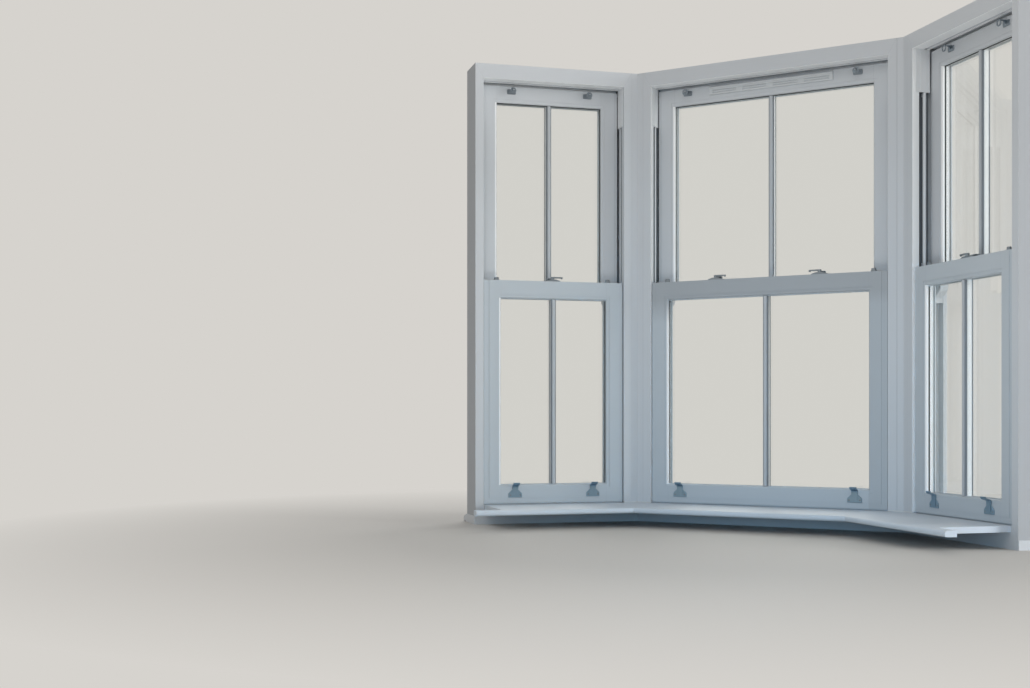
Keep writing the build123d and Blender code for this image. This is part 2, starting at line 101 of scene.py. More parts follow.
class Wire:
    # a node socket that can be used in sums

    def __init__(self, graph, socket):
        self.graph = graph
        self.socket = socket

    def maths(self, operation, other=None, flip=False):
        terms = [self] if other is None else [self, other]
        if flip:
            terms.reverse()
        return self.graph.make("ShaderNodeMath", {"operation": operation}, dict(enumerate(terms)))["Value"]

    def __add__(self, other):
        return self.maths("ADD", other)

    def __radd__(self, other):
        return self.maths("ADD", other, True)

    def __sub__(self, other):
        return self.maths("SUBTRACT", other)

    def __rsub__(self, other):
        return self.maths("SUBTRACT", other, True)

    def __mul__(self, other):
        return self.maths("MULTIPLY", other)

    def __rmul__(self, other):
        return self.maths("MULTIPLY", other, True)

    def __truediv__(self, other):
        return self.maths("DIVIDE", other)

    def __rtruediv__(self, other):
        return self.maths("DIVIDE", other, True)

    def __abs__(self):
        return self.maths("ABSOLUTE")

    def least(self, other):
        return self.maths("MINIMUM", other)

    def most(self, other):
        return self.maths("MAXIMUM", other)

    def over(self, other):
        return self.maths("GREATER_THAN", other)

    def under(self, other):
        return self.maths("LESS_THAN", other)

    def wave(self):
        return self.maths("SINE")

    def root(self):
        return self.maths("SQRT")

    def held(self):
        return self.least(1.0).most(0.0)


class Graph:
    # a node tree with one way to add any node

    def __init__(self, tree):
        self.tree = tree

    def make(self, kind, settings=None, inputs=None):
        node = self.tree.nodes.new(kind)
        for name, value in (settings or {}).items():
            setattr(node, name, value)
        for name, value in (inputs or {}).items():
            self.feed(node.inputs[name], value)
        return Made(self, node)

    def feed(self, socket, value):
        if isinstance(value, Wire):
            self.tree.links.new(value.socket, socket)
        elif isinstance(value, tuple) and socket.type == "RGBA":
            socket.default_value = (*value[:3], 1)
        else:
            socket.default_value = value


class Made:
    # a node whose outputs are read by name

    def __init__(self, graph, node):
        self.graph = graph
        self.node = node

    def __getitem__(self, name):
        return Wire(self.graph, self.node.outputs[name])


def sRGB(red, green, blue):
    def linear(value):
        share = value / 255
        return share / 12.92 if share <= 0.04045 else ((share + 0.055) / 1.055) ** 2.4

    return linear(red), linear(green), linear(blue)


def darker(colour, share):
    return tuple(value * share for value in colour)


# how many octaves of noise a fine grain, a cloud or a brushed texture, and extrusion lines have
grainDetail = 2.0
cloudDetail = 3.0
lineDetail = 1.5


class Finish:
    # a material with its principled shader and object coordinates

    def __init__(self, name, constants):
        self.material = bpy.data.materials.new(name)
        self.material.use_nodes = True
        self.graph = Graph(self.material.node_tree)
        self.shader = self.material.node_tree.nodes["Principled BSDF"]
        for socketName, value in constants.items():
            self.graph.feed(self.shader.inputs[socketName], value)
        self.place = self.graph.make("ShaderNodeTexCoord")["Object"]

    def make(self, kind, settings=None, inputs=None):
        return self.graph.make(kind, settings, inputs)

    def noise(self, scale, detail=grainDetail, stretch=(1, 1, 1), place=None):
        inputs = {"Vector": place or self.place, "Scale": stretch}
        at = self.make("ShaderNodeMapping", None, inputs)["Vector"]
        inputs = {"Vector": at, "Scale": scale, "Detail": detail}
        return self.make("ShaderNodeTexNoise", None, inputs)["Fac"]

    def local(self, side):
        # object coordinates in a light's own axes
        origin = tuple(lightPlaces[side].translation)
        turn = (0, 0, math.radians(lightTurns[side]))
        inputs = {"Vector": self.place, "Location": origin, "Rotation": turn}
        return self.make("ShaderNodeMapping", {"vector_type": "TEXTURE"}, inputs)["Vector"]

    def split(self, vector):
        parts = self.make("ShaderNodeSeparateXYZ", None, {"Vector": vector})
        return parts["X"], parts["Y"], parts["Z"]

    def blend(self, factor, first, second):
        inputs = {"Factor": factor, 6: first, 7: second}
        mixed = self.make("ShaderNodeMix", {"data_type": "RGBA", "clamp_factor": True}, inputs)
        return Wire(self.graph, mixed.node.outputs[2])

    def set(self, name, value):
        self.graph.feed(self.shader.inputs[name], value)

    def bump(self, height, distance):
        inputs = {"Height": height, "Distance": distance}
        self.set("Normal", self.make("ShaderNodeBump", None, inputs)["Normal"])

    def mixInto(self, factor, other):
        # lays another shader over the principled one
        body = Wire(self.graph, self.shader.outputs["BSDF"])
        mixed = self.make("ShaderNodeMixShader", None, {"Fac": factor, 1: body, 2: other})["Shader"]
        self.graph.feed(self.material.node_tree.nodes["Material Output"].inputs["Surface"], mixed)


# satin white extruded plastic, with faint die lines along each member and hairline joints; some of its
# colours are painted shade and painted light
whitePlastic = {
    "colour": sRGB(212, 215, 218), "shade": sRGB(200, 204, 208), "joint": sRGB(120, 124, 128),
    # painted shade: the greyer white of the lower sashes, recessed behind the lips
    "recessedColour": sRGB(197, 204, 209), "recessedShade": sRGB(186, 194, 200),
    "flank": sRGB(108, 116, 124), "insert": sRGB(112, 117, 122), "bright": sRGB(248, 249, 250),
    "railShade": sRGB(170, 175, 179),
    "constants": {"Specular IOR Level": 0.45, "Coat Roughness": 0.2, "Coat Weight": 0.12},
    "rough": 0.3, "roughSpread": 0.12, "roughScale": 38.0, "jointRough": 0.3,
    "dieLines": 420.0, "drawn": 0.01, "lineShare": 0.2, "cloud": 2.6, "cloudShare": 0.8, "grain": 2600.0,
    "jointWidth": 0.35 * mm, "jointShare": 0.45,
    "flange": 9 * mm, "flangeLine": 0.9 * mm, "flangeShare": 0.8,
    "barFlat": 3.5 * mm, "barEdge": 8.5 * mm, "barShare": 0.2, "flankShare": 0.65,
    "railFade": 90 * mm, "stileShare": 0.45,
    "lineHeight": 0.5, "grainHeight": 0.35, "jointDepth": 2.0, "bump": 0.12 * mm,
}


# a hairline joint at distance nought
def jointMask(distance):
    return (1 - abs(distance) / whitePlastic["jointWidth"]).held()


# mitres between head, jambs and bottom member
def mitreMask(x, z, measure):
    masks = []
    run = section["outerLip"]
    stretch = run / section["lip"]
    top = section["headMember"] * stretch
    foot = section["bottomMember"] * stretch
    inward = measure["spanHalf"] - abs(x)
    for rise, drop in ((top, measure["frameTop"] - z), (foot, z - section["cillTop"])):
        length = math.hypot(rise, run)
        masks.append(jointMask((inward * rise - drop * run) / length))
    return masks[0].most(masks[1])


# hairline where a frame's outer edge meets the corner post
def edgeMask(x, measure):
    return (1 - abs(abs(x) - measure["spanHalf"]) / (2 * whitePlastic["jointWidth"])).held()


# butt joints between the rails and the stiles of a sash
def buttMask(x, z, measure, sash):
    low, high, bottomRail, topRail = sash
    rail = z.under(low + bottomRail).most(z.over(high - topRail))
    return jointMask(abs(x) - (measure["half"] - section["stile"])) * rail


# painted shade: the track floor behind the lip of a jamb is painted grey as far as the upper sash, for the
# shade in that deep recess
def trackShadeMask(x, y, measure):
    rim = measure["spanHalf"] + section["margin"]
    lip = rim + section["margin"] - section["lip"]
    across = abs(x).over(lip) * abs(x).under(rim - section["trackFloor"])
    start = section["lipThickness"] + section["margin"]
    return across * y.over(start) * y.under(section["beadEnd"] + section["margin"])


# inner face of a left jamb's lip, painted near white as a painted highlight of the daylight from the right
def returnLightMask(x, y, measure):
    face = measure["spanHalf"] + 2 * section["margin"] - section["lip"]
    across = x.under(3 * section["margin"] - face) * x.over(-face - section["margin"])
    return across * y.over(section["margin"]) * y.under(section["lipThickness"] + section["margin"])


# painted shade: a dark line in the groove beside the flange that runs up both sides of the upper sash
def flangeShadeMask(x, measure):
    return (1 - abs(measure["half"] - whitePlastic["flange"] - abs(x)) / whitePlastic["flangeLine"]).held()


# bead along a left stile, painted near white as a painted highlight of the daylight from the right
def beadLightMask(x, z, measure, sash):
    low, high, bottomRail, topRail = sash
    edge = section["stile"] - measure["half"]
    across = x.under(edge + section["margin"]) * x.over(edge - section["beadWidth"])
    return across * z.over(low + bottomRail) * z.under(high - topRail)


# foot, head, bottom rail and top rail of each sash
def lowerSash(measure):
    return measure["base"], measure["meeting"], section["bottomRail"], section["meetingRail"]


def upperSash(measure):
    foot = measure["meeting"] - section["hiddenRail"]
    return foot, measure["sashTop"], section["hiddenRail"], section["topRail"]


sashShapes = {"lower": lowerSash, "upper": upperSash}


def plasticFinish(name, side, kind):
    look = whitePlastic
    finish = Finish(name, look["constants"])
    place = finish.local(side)
    x, y, z = finish.split(place)
    measure = measures[side]
    upright = finish.noise(look["dieLines"], lineDetail, (1, 1, look["drawn"]), place)
    across = finish.noise(look["dieLines"], lineDetail, (look["drawn"], 1, 1), place)
    lines = across if kind == "member" else upright
    joint = z.under(0.0)  # nothing stands below nought, so this is no joint
    if kind in ("jamb", "post"):
        joint = edgeMask(x, measure)
    if kind in ("jamb", "member"):
        joint = joint.most(mitreMask(x, z, measure))
    if kind in sashShapes:
        stile = abs(x).over(measure["half"] - section["stile"])
        lines = upright * stile + across * (1 - stile)
        joint = buttMask(x, z, measure, sashShapes[kind](measure))
    tones = look["shade"], look["colour"]
    # painted shade: the lower sashes take a greyer white for the shade of their recess
    if kind == "lower":
        tones = look["recessedShade"], look["recessedColour"]
    cloud = finish.noise(look["cloud"], cloudDetail)
    grain = finish.noise(look["grain"])
    body = finish.blend(cloud * look["cloudShare"] + lines * look["lineShare"], *tones)
    body = finish.blend(joint * look["jointShare"], body, look["joint"])
    if kind == "jamb":
        # painted shade on the track floors
        body = finish.blend(trackShadeMask(x, y, measure), body, look["insert"])
        # painted highlight on the left jambs' returns
        body = finish.blend(returnLightMask(x, y, measure), body, look["bright"])
    if kind == "member":
        # painted light: the head's soffit, above the upper sash, is painted near white as if lit from below
        soffit = measure["frameTop"] - section["headMember"] + section["margin"]
        body = finish.blend(z.under(soffit) * z.over(measure["sashTop"]), body, look["bright"])
    if kind == "bars":
        # painted shade: each bar a little darker and its flanks much darker, as backlit mouldings look
        flank = ((abs(x) - look["barFlat"]) / (look["barEdge"] - look["barFlat"])).held()
        body = finish.blend(look["barShare"] + flank * look["flankShare"], body, look["flank"])
    if kind == "upper":
        # painted shade in the flange groove of the upper sash
        body = finish.blend(flangeShadeMask(x, measure) * look["flangeShare"], body, look["joint"])
    if kind in sashShapes:
        roomSide = y.under(measure[f"{kind}Pane"])
        # painted highlight on the room-side beads of the left stiles
        bead = beadLightMask(x, z, measure, sashShapes[kind](measure))
        body = finish.blend(bead * roomSide, body, look["bright"])
    if kind == "lower" and side == "centre":
        # the wide light's meeting rail stands in the shade, and its right stile half so
        rail = ((z - measure["meeting"] + section["meetingRail"]) / look["railFade"] + 1).held()
        rail = rail.most(x.over(measure["half"] - section["stile"]) * look["stileShare"])
        body = finish.blend(rail * roomSide, body, look["railShade"])
    finish.set("Base Color", body)
    spread = finish.noise(look["roughScale"], cloudDetail) * look["roughSpread"]
    finish.set("Roughness", look["rough"] + spread + joint * look["jointRough"])
    height = lines * look["lineHeight"] + grain * look["grainHeight"] - joint * look["jointDepth"]
    finish.bump(height, look["bump"])
    return finish.material


# cloudy, finely grained white that the moulded pieces share
mouldedPlastic = {
    "cloud": 9.0, "cloudShare": 0.7, "grain": 1800.0, "grainShare": 0.3, "roughSpread": 0.12,
    "bump": 0.05 * mm, "constants": {"Specular IOR Level": 0.45}, "shade": 0.9,
}


def mouldedBody(finish, shade, colour):
    look = mouldedPlastic
    cloud = finish.noise(look["cloud"], cloudDetail)
    grain = finish.noise(look["grain"])
    body = finish.blend(cloud * look["cloudShare"] + grain * look["grainShare"], shade, colour)
    return body, cloud, grain


ventPlastic = {"colour": sRGB(219, 222, 224), "rough": 0.38}
coverPlastic = {"colour": sRGB(236, 238, 240), "rough": 0.34}


def plainPlastic(name, look):
    finish = Finish(name, mouldedPlastic["constants"])
    shade = darker(look["colour"], mouldedPlastic["shade"])
    body, cloud, grain = mouldedBody(finish, shade, look["colour"])
    finish.set("Base Color", body)
    finish.set("Roughness", look["rough"] + cloud * mouldedPlastic["roughSpread"])
    finish.bump(grain, mouldedPlastic["bump"])
    return finish.material


# moulded hood whose face has a row of dark upright slots
hoodSlots = {
    **ventPlastic, "shade": sRGB(200, 203, 206), "slot": sRGB(46, 48, 50),
    "pitch": 6 * mm, "low": 6 * mm, "high": 17 * mm, "margin": 16 * mm, "edge": 0.5 * mm, "steep": 2.2,
    "open": 0.1, "slotRough": 0.3, "grainHeight": 0.05, "bump": 1.2 * mm,
}


def hoodFinish():
    look = hoodSlots
    finish = Finish("hood_plastic", mouldedPlastic["constants"])
    x, y, z = finish.split(finish.place)
    low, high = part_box("vent_hood")
    row = ((x * (2 * math.pi / look["pitch"])).wave() * look["steep"] + look["open"]).held()
    rise = z - low.z
    for room in (rise - look["low"], look["high"] - rise, high.x - look["margin"] - abs(x)):
        row = row * (room / look["edge"]).held()
    body, cloud, grain = mouldedBody(finish, look["shade"], look["colour"])
    finish.set("Base Color", finish.blend(row, body, look["slot"]))
    finish.set("Roughness", look["rough"] + cloud * mouldedPlastic["roughSpread"] + row * look["slotRough"])
    finish.bump(grain * look["grainHeight"] - row, look["bump"])
    return finish.material


# painted board with brush strokes along it and a little texture on the flat; its white is tinted blue as a
# painted reflection of the sky
boardPaint = {
    # the blue in these whites is painted reflection
    "colour": sRGB(211, 220, 229), "shade": sRGB(202, 212, 222), "rough": 0.36, "roughSpread": 0.14,
    "constants": {"Specular IOR Level": 0.5, "Coat Weight": 0.1, "Coat Roughness": 0.25},
    "strokes": 260.0, "brushed": (0.03, 1, 0.5), "stipple": 700.0, "cloud": 3.0, "cloudShare": 0.6,
    "strokeShare": 0.4, "strokeHeight": 0.7, "stippleHeight": 0.3, "bump": 0.16 * mm,
}


def boardFinish(side):
    look = boardPaint
    finish = Finish(f"board_paint_{side}", look["constants"])
    strokes = finish.noise(look["strokes"], cloudDetail, look["brushed"], finish.local(side))
    stipple = finish.noise(look["stipple"])
    cloud = finish.noise(look["cloud"])
    tone = cloud * look["cloudShare"] + strokes * look["strokeShare"]
    finish.set("Base Color", finish.blend(tone, look["shade"], look["colour"]))
    finish.set("Roughness", look["rough"] + strokes * look["roughSpread"])
    finish.bump(strokes * look["strokeHeight"] + stipple * look["stippleHeight"], look["bump"])
    return finish.material


# satin plated furniture; the lifts are tinted blue as a painted reflection of the cool daylight
satinChrome = {
    "colour": sRGB(162, 172, 181), "dark": sRGB(124, 134, 143), "rough": 0.24, "brush": 1500.0,
    "drawn": (1, 1, 0.04), "cloud": 70.0, "cloudShare": 0.6, "brushShare": 0.4, "brushRough": 0.16,
    "cloudRough": 0.08, "bump": 0.03 * mm,
}
# painted reflection: the lifts' blue tint
liftChromeSkyTint = {**satinChrome, "colour": sRGB(158, 184, 202), "dark": sRGB(126, 152, 170)}


def chromeFinish(name, look):
    finish = Finish(name, {"Metallic": 1.0})
    brush = finish.noise(look["brush"], cloudDetail, look["drawn"])
    cloud = finish.noise(look["cloud"], cloudDetail)
    tone = cloud * look["cloudShare"] + brush * look["brushShare"]
    finish.set("Base Color", finish.blend(tone, look["dark"], look["colour"]))
    finish.set("Roughness", look["rough"] + brush * look["brushRough"] + cloud * look["cloudRough"])
    finish.bump(brush, look["bump"])
    return finish.material


# galvanised poles with their spangle
poleSteel = {
    "dark": sRGB(128, 132, 136), "colour": sRGB(164, 168, 172), "spangle": 130.0, "streak": 500.0,
    "drawn": (1, 1, 0.05), "rough": 0.34, "spangleRough": 0.14, "streakRough": 0.08, "spangleHeight": 0.5,
    "bump": 0.04 * mm,
}


def steelFinish():
    look = poleSteel
    finish = Finish("pole_steel", {"Metallic": 1.0})
    inputs = {"Vector": finish.place, "Scale": look["spangle"]}
    spangle = finish.make("ShaderNodeTexVoronoi", {"feature": "F1"}, inputs)["Color"]
    tone = finish.make("ShaderNodeSeparateColor", None, {"Color": spangle})["Red"]
    streak = finish.noise(look["streak"], cloudDetail, look["drawn"])
    finish.set("Base Color", finish.blend(tone, look["dark"], look["colour"]))
    finish.set("Roughness", look["rough"] + tone * look["spangleRough"] + streak * look["streakRough"])
    finish.bump(streak + tone * look["spangleHeight"], look["bump"])
    return finish.material


# pale warm-edge spacer with rows of breather holes, painted near white as painted light in its shaded
# pocket between the panes
spacerStrip = {
    "pitch": 3.2 * mm, "colour": sRGB(250, 251, 252), "hole": sRGB(222, 225, 228), "threshold": 0.86,
    "steep": 9.0, "cloud": 60.0, "rough": 0.38, "roughSpread": 0.12, "holeRough": 0.25, "bump": 0.08 * mm,
}


def spacerFinish():
    look = spacerStrip
    finish = Finish("spacer_metal", {"Specular IOR Level": 0.6})
    x, y, z = finish.split(finish.place)
    waves = [(axis * (2 * math.pi / look["pitch"])).wave() for axis in (x, z)]
    dots = ((waves[0].most(waves[1]) - look["threshold"]) * look["steep"]).held()
    cloud = finish.noise(look["cloud"])
    finish.set("Base Color", finish.blend(dots, look["colour"], look["hole"]))
    finish.set("Roughness", look["rough"] + cloud * look["roughSpread"] + dots * look["holeRough"])
    finish.bump(1 - dots, look["bump"])
    return finish.material


# glazing rubber: black on the room side of the panes, pale outside them, and pale along the lower sashes'
# rails as a painted reflection
glazingRubber = {
    "dark": sRGB(34, 36, 38), "colour": sRGB(52, 54, 57), "pale": sRGB(206, 212, 218), "reach": 4 * mm,
    "cloud": 45.0, "grain": 2400.0, "rough": 0.62, "roughSpread": 0.2, "bump": 0.06 * mm,
}


def rubberFinish():
    look = glazingRubber
    finish = Finish("black_rubber", {"Specular IOR Level": 0.35})
    pale = 0.0
    for side, measure in measures.items():
        x, y, z = finish.split(finish.local(side))
        step = measure["upperPane"] - measure["lowerPane"]
        pane = z.over(measure["meeting"]) * step + measure["lowerPane"]
        outer = y.over(pane) * y.under(measure["depth"]) * abs(x).under(measure["spanHalf"])
        pale = outer.most(pale)
    # the sashes of all three lights stand at the same heights
    # painted reflection: the rubber along the lower sashes' bottom and meeting rails is painted pale
    foot = z.under(measure["base"] + section["bottomRail"] + look["reach"])
    top = z.over(measure["meeting"] - section["meetingRail"] - look["reach"]) * z.under(measure["meeting"])
    pale = pale.most(foot.most(top))
    cloud = finish.noise(look["cloud"], cloudDetail)
    grain = finish.noise(look["grain"])
    body = finish.blend(cloud, look["dark"], look["colour"])
    finish.set("Base Color", finish.blend(pale, body, look["pale"]))
    finish.set("Roughness", look["rough"] + cloud * look["roughSpread"])
    finish.bump(grain, look["bump"])
    return finish.material


# pale balance tubes, whose fronts stand in the shade of the lips in the left and the centre light
balanceTube = {
    "colour": sRGB(228, 231, 234), "shade": sRGB(216, 219, 222), "shaded": sRGB(138, 142, 146),
    "near": 40 * mm, "far": 45.4 * mm, "rough": 0.36,
}


def tubeFinish():
    look = balanceTube
    finish = Finish("tube_plastic", mouldedPlastic["constants"])
    shaded = 0.0
    for side in ("left", "centre"):
        x, y, z = finish.split(finish.local(side))
        front = y.over(look["near"]) * y.under(look["far"]) * abs(x).under(measures[side]["spanHalf"])
        shaded = front.most(shaded)
    body, cloud, grain = mouldedBody(finish, look["shade"], look["colour"])
    finish.set("Base Color", finish.blend(shaded, body, look["shaded"]))
    finish.set("Roughness", look["rough"] + cloud * mouldedPlastic["roughSpread"])
    finish.bump(grain, mouldedPlastic["bump"])
    return finish.material


# soft grey pile
greyPile = {
    "dark": sRGB(58, 60, 63), "colour": sRGB(92, 95, 99), "cloud": 900.0, "rough": 0.85, "roughSpread": 0.1,
    "bump": 0.1 * mm,
}


def pileFinish():
    look = greyPile
    finish = Finish("grey_pile", {"Specular IOR Level": 0.2, "Sheen Weight": 0.3})
    cloud = finish.noise(look["cloud"], cloudDetail)
    finish.set("Base Color", finish.blend(cloud, look["dark"], look["colour"]))
    finish.set("Roughness", look["rough"] + cloud * look["roughSpread"])
    finish.bump(cloud, look["bump"])
    return finish.material


# clear glass that lets lamps through, with the faintest film on it
clearGlass = {"tint": (0.975, 0.985, 0.98), "index": 1.5, "film": 4.0, "filmRough": 0.012}


def glassFinish():
    look = clearGlass
    constants = {"Base Color": look["tint"], "Transmission Weight": 1.0, "IOR": look["index"]}
    finish = Finish("clear_glass", constants)
    finish.set("Roughness", finish.noise(look["film"], cloudDetail) * look["filmRough"])
    clear = finish.make("ShaderNodeBsdfTransparent", None, {"Color": look["tint"]})["BSDF"]
    path = finish.make("ShaderNodeLightPath")
    finish.mixInto(path["Is Shadow Ray"].most(path["Is Diffuse Ray"]), clear)
    return finish.material


rubber = rubberFinish()
chrome = chromeFinish("satin_chrome", satinChrome)
liftFinish = chromeFinish("lift_chrome_sky_tint", liftChromeSkyTint)
steel = steelFinish()
pile = pileFinish()
glass = glassFinish()
spacer = spacerFinish()
ventWhite = plainPlastic("vent_plastic", ventPlastic)
tubeWhite = tubeFinish()
coverWhite = plainPlastic("cover_plastic", coverPlastic)
postWhite = plasticFinish("post_plastic", "centre", "post")
print("finishes made")


def dress(node, material):
    slots = cadNodes[node].data.materials
    if not slots:
        slots.append(material)
    for index in range(len(slots)):
        slots[index] = material


for side in lightTurns:
    member = plasticFinish(f"white_member_{side}", side, "member")
    jamb = plasticFinish(f"white_jamb_{side}", side, "jamb")
    dressing = {
        "frame_head": member, "frame_bottom": member, "cill": member, "jamb_left": jamb, "jamb_right": jamb,
        "lower_sash": plasticFinish(f"white_lower_{side}", side, "lower"),
        "upper_sash": plasticFinish(f"white_upper_{side}", side, "upper"),
        "glazing_bars": plasticFinish(f"white_bars_{side}", side, "bars"),
        "lower_glass": glass, "upper_glass": glass, "window_board": boardFinish(side),
    }
    for node, material in dressing.items():
        dress(f"{side}_{node}", material)

for node in ("left_corner_post", "right_corner_post", "cill_caps"):
    dress(node, postWhite)
for node in ("sash_pulls", "cam_catches", "catch_keeps", "tilt_knobs"):
    dress(node, chrome)
dress("sash_lifts", liftFinish)
dress("trickle_vent", ventWhite)
dress("vent_hood", hoodFinish())
dress("track_covers", coverWhite)
dress("balance_tubes", tubeWhite)
dress("glass_gaskets", rubber)
dress("spacer_bars", spacer)
dress("bay_poles", steel)
print("frame dressed")


crispAngle = 35  # degrees past which an edge stays sharp
weld = 0.005 * mm  # points nearer to each other than this are one


# one mesh object from a bmesh in metres, with faces outward and crisp edges
def finishPiece(name, mesh, material, crisp=crispAngle):
    bmesh.ops.remove_doubles(mesh, verts=mesh.verts, dist=weld)
    bmesh.ops.recalc_face_normals(mesh, faces=mesh.faces)
    data = bpy.data.meshes.new(name)
    mesh.to_mesh(data)
    mesh.free()
    return placeMesh(name, data, material, crisp)


def placeMesh(name, data, material, crisp):
    piece = bpy.data.objects.new(name, data)
    bpy.context.scene.collection.objects.link(piece)
    data.materials.clear()
    data.materials.append(material)
    data.shade_smooth()
    data.set_sharp_from_angle(angle=math.radians(crisp))
    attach(piece, "root")
    return piece


# a small part to be repeated, kept out of the finished scene
def makeStamp(name, mesh):
    data = bpy.data.meshes.new(name)
    bmesh.ops.recalc_face_normals(mesh, faces=mesh.faces)
    mesh.to_mesh(data)
    mesh.free()
    stamp = bpy.data.objects.new(name, data)
    bpy.context.scene.collection.objects.link(stamp)
    return stamp


# a random number for each point, between two limits
def randomWire(graph, least, most, seed):
    drawn = graph.make("FunctionNodeRandomValue", {"data_type": "FLOAT"}, {2: least, 3: most, "Seed": seed})
    return Wire(graph, drawn.node.outputs[1])


repeatDefaults = {"Pitch": 1.0, "Lean": 0.0, "Spin": 0.0, "Shortest": 1.0, "Seed": 1}
heightSeed = 5  # what is added to the seed where heights are drawn


# tree that sets a stamp on every point, or at a pitch along every edge
def repeatTree(name, along):
    tree = bpy.data.node_groups.new(name, "GeometryNodeTree")
    graph = Graph(tree)
    face = tree.interface
    face.new_socket(name="Geometry", in_out="OUTPUT", socket_type="NodeSocketGeometry")
    wanted = {
        "Geometry": "NodeSocketGeometry", "Stamp": "NodeSocketObject", "Finish": "NodeSocketMaterial",
        "Pitch": "NodeSocketFloat", "Lean": "NodeSocketFloat", "Spin": "NodeSocketFloat",
        "Shortest": "NodeSocketFloat", "Seed": "NodeSocketInt",
    }
    names = {}
    for label, kind in wanted.items():
        names[label] = face.new_socket(name=label, in_out="INPUT", socket_type=kind).identifier
    given = graph.make("NodeGroupInput")
    points = given["Geometry"]
    if along:
        curve = graph.make("GeometryNodeMeshToCurve", None, {"Mesh": points})["Curve"]
        inputs = {"Curve": curve, "Length": given["Pitch"]}
        curve = graph.make("GeometryNodeResampleCurve", {"mode": "LENGTH"}, inputs)["Curve"]
        points = graph.make("GeometryNodeCurveToPoints", {"mode": "EVALUATED"}, {"Curve": curve})["Points"]
    stamp = graph.make("GeometryNodeObjectInfo", None, {"Object": given["Stamp"]})["Geometry"]
    settings = {"data_type": "FLOAT_VECTOR"}
    turn = graph.make("GeometryNodeInputNamedAttribute", settings, {"Name": "turn"})["Attribute"]
    inputs = {"Points": points, "Instance": stamp, "Rotation": turn}
    placed = graph.make("GeometryNodeInstanceOnPoints", None, inputs)["Instances"]
    leans = []
    for shift, lean in enumerate((given["Lean"], given["Lean"], given["Spin"])):
        leans.append(randomWire(graph, lean * -1.0, lean, given["Seed"] + shift))
    tilt = graph.make("ShaderNodeCombineXYZ", None, dict(enumerate(leans)))["Vector"]
    inputs = {"Instances": placed, "Rotation": tilt}
    placed = graph.make("GeometryNodeRotateInstances", None, inputs)["Instances"]
    height = randomWire(graph, given["Shortest"], 1.0, given["Seed"] + heightSeed)
    size = graph.make("ShaderNodeCombineXYZ", None, {0: 1.0, 1: 1.0, 2: height})["Vector"]
    inputs = {"Instances": placed, "Scale": size}
    placed = graph.make("GeometryNodeScaleInstances", None, inputs)["Instances"]
    real = graph.make("GeometryNodeRealizeInstances", None, {"Geometry": placed})["Geometry"]
    inputs = {"Geometry": real, "Material": given["Finish"]}
    real = graph.make("GeometryNodeSetMaterial", None, inputs)["Geometry"]
    graph.make("NodeGroupOutput", None, {"Geometry": real})
    return tree, names


# places are matrices; with ends, each place is a strip from its origin to that local point
def repeatPiece(name, places, ends, stamp, values, material, crisp=crispAngle):
    mesh = bmesh.new()
    turnLayer = mesh.verts.layers.float_vector.new("turn")
    for index, place in enumerate(places):
        turn = Vector(place.to_euler())
        points = [Vector()] if ends is None else [Vector(), ends[index]]
        made = []
        for point in points:
            vertex = mesh.verts.new(place @ point)
            vertex[turnLayer] = turn
            made.append(vertex)
        if ends is not None:
            mesh.edges.new(made)
    data = bpy.data.meshes.new(name)
    mesh.to_mesh(data)
    mesh.free()
    carrier = bpy.data.objects.new(f"{name}_points", data)
    bpy.context.scene.collection.objects.link(carrier)
    tree, names = repeatTree(f"{name}_tree", ends is not None)
    modifier = carrier.modifiers.new("Repeat", "NODES")
    modifier.node_group = tree
    for label, value in {**repeatDefaults, **values, "Stamp": stamp, "Finish": material}.items():
        modifier[names[label]] = value
    graph = bpy.context.evaluated_depsgraph_get()
    result = bpy.data.meshes.new_from_object(carrier.evaluated_get(graph), depsgraph=graph)
    result.name = name
    carrier.modifiers.clear()
    bpy.data.objects.remove(carrier)
    bpy.data.objects.remove(stamp)
    return placeMesh(name, result, material, crisp)


# a place in a light's axes, optionally turned there
def spot(side, x, y, z, turn=None):
    place = lightPlaces[side] @ Matrix.Translation((x, y, z))
    return place if turn is None else place @ turn


towardsRoom = Matrix.Rotation(quarterTurn, 4, "X")  # takes a stamp's z to the room


def circle(mesh, radius, height, count, centre=Vector()):
    made = []
    for index in range(count):
        angle = 2 * math.pi * index / count
        point = Vector((radius * math.cos(angle), radius * math.sin(angle), height))
        made.append(mesh.verts.new(centre + point))
    return made


def closeLoop(mesh, loop):
    return [mesh.edges.new(pair) for pair in zip(loop, loop[1:] + loop[:1])]


def joinLoops(mesh, first, second):
    for index in range(len(first)):
        after = (index + 1) % len(first)
        mesh.faces.new((first[index], first[after], second[after], second[index]))


# cross-head screws that hold the furniture
screws = {
    "radius": 3.35 * mm, "arm": 0.55 * mm, "reach": 2.1 * mm, "recess": 1.3 * mm, "cone": 1.5 * mm,
    "shank": 1.7 * mm, "sink": 0.15 * mm, "pit": 0.55, "segments": 20, "seed": 11,
}


def screwStamp():
    mesh = bmesh.new()
    arm = screws["arm"]
    reach = screws["reach"]
    corners = ((arm, reach), (arm, arm), (reach, arm), (reach, -arm), (arm, -arm), (arm, -reach))
    outline = [*corners, *((-x, -y) for x, y in corners)]
    pit = screws["pit"]
    rim = circle(mesh, screws["radius"], -screws["sink"], screws["segments"])
    cross = [mesh.verts.new((x, y, -screws["sink"])) for x, y in outline]
    floor = [mesh.verts.new((x * pit, y * pit, -screws["recess"])) for x, y in outline]
    edges = closeLoop(mesh, rim) + closeLoop(mesh, cross)
    bmesh.ops.triangle_fill(mesh, use_beauty=True, edges=edges)
    joinLoops(mesh, cross, floor)
    mesh.faces.new(floor)
    neck = circle(mesh, screws["shank"], -screws["sink"] - screws["cone"], screws["segments"])
    joinLoops(mesh, rim, neck)
    mesh.faces.new(neck)
    return makeStamp("screw_stamp", mesh)


